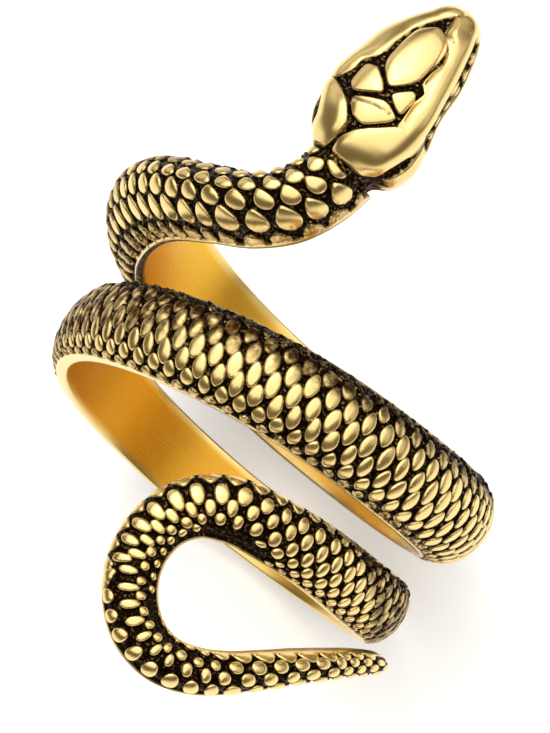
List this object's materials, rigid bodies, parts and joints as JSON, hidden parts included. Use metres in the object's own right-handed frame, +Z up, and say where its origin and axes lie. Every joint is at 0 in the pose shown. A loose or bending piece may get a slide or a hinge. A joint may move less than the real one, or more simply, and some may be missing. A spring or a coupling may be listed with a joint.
{
  "type": "snake wrap ring",
  "caption": "Finger ring shaped as a coiled snake with raised scales, its head along the finger and its tail curled flat.",
  "frame": {"origin": "bottom centre of the bounding box, on the surface that the ring rests on", "axes": "+Z up, +Y along the finger towards the snake's nose, +X to the right with the nose pointing away"},
  "size_m": [0.0248, 0.0334, 0.0276],
  "materials": {
    "gold_metal": "polished scales with dark recesses"
  },
  "bodies": {
    "root": {"snake_coil": "gold_metal"}
  },
  "joints": []
}
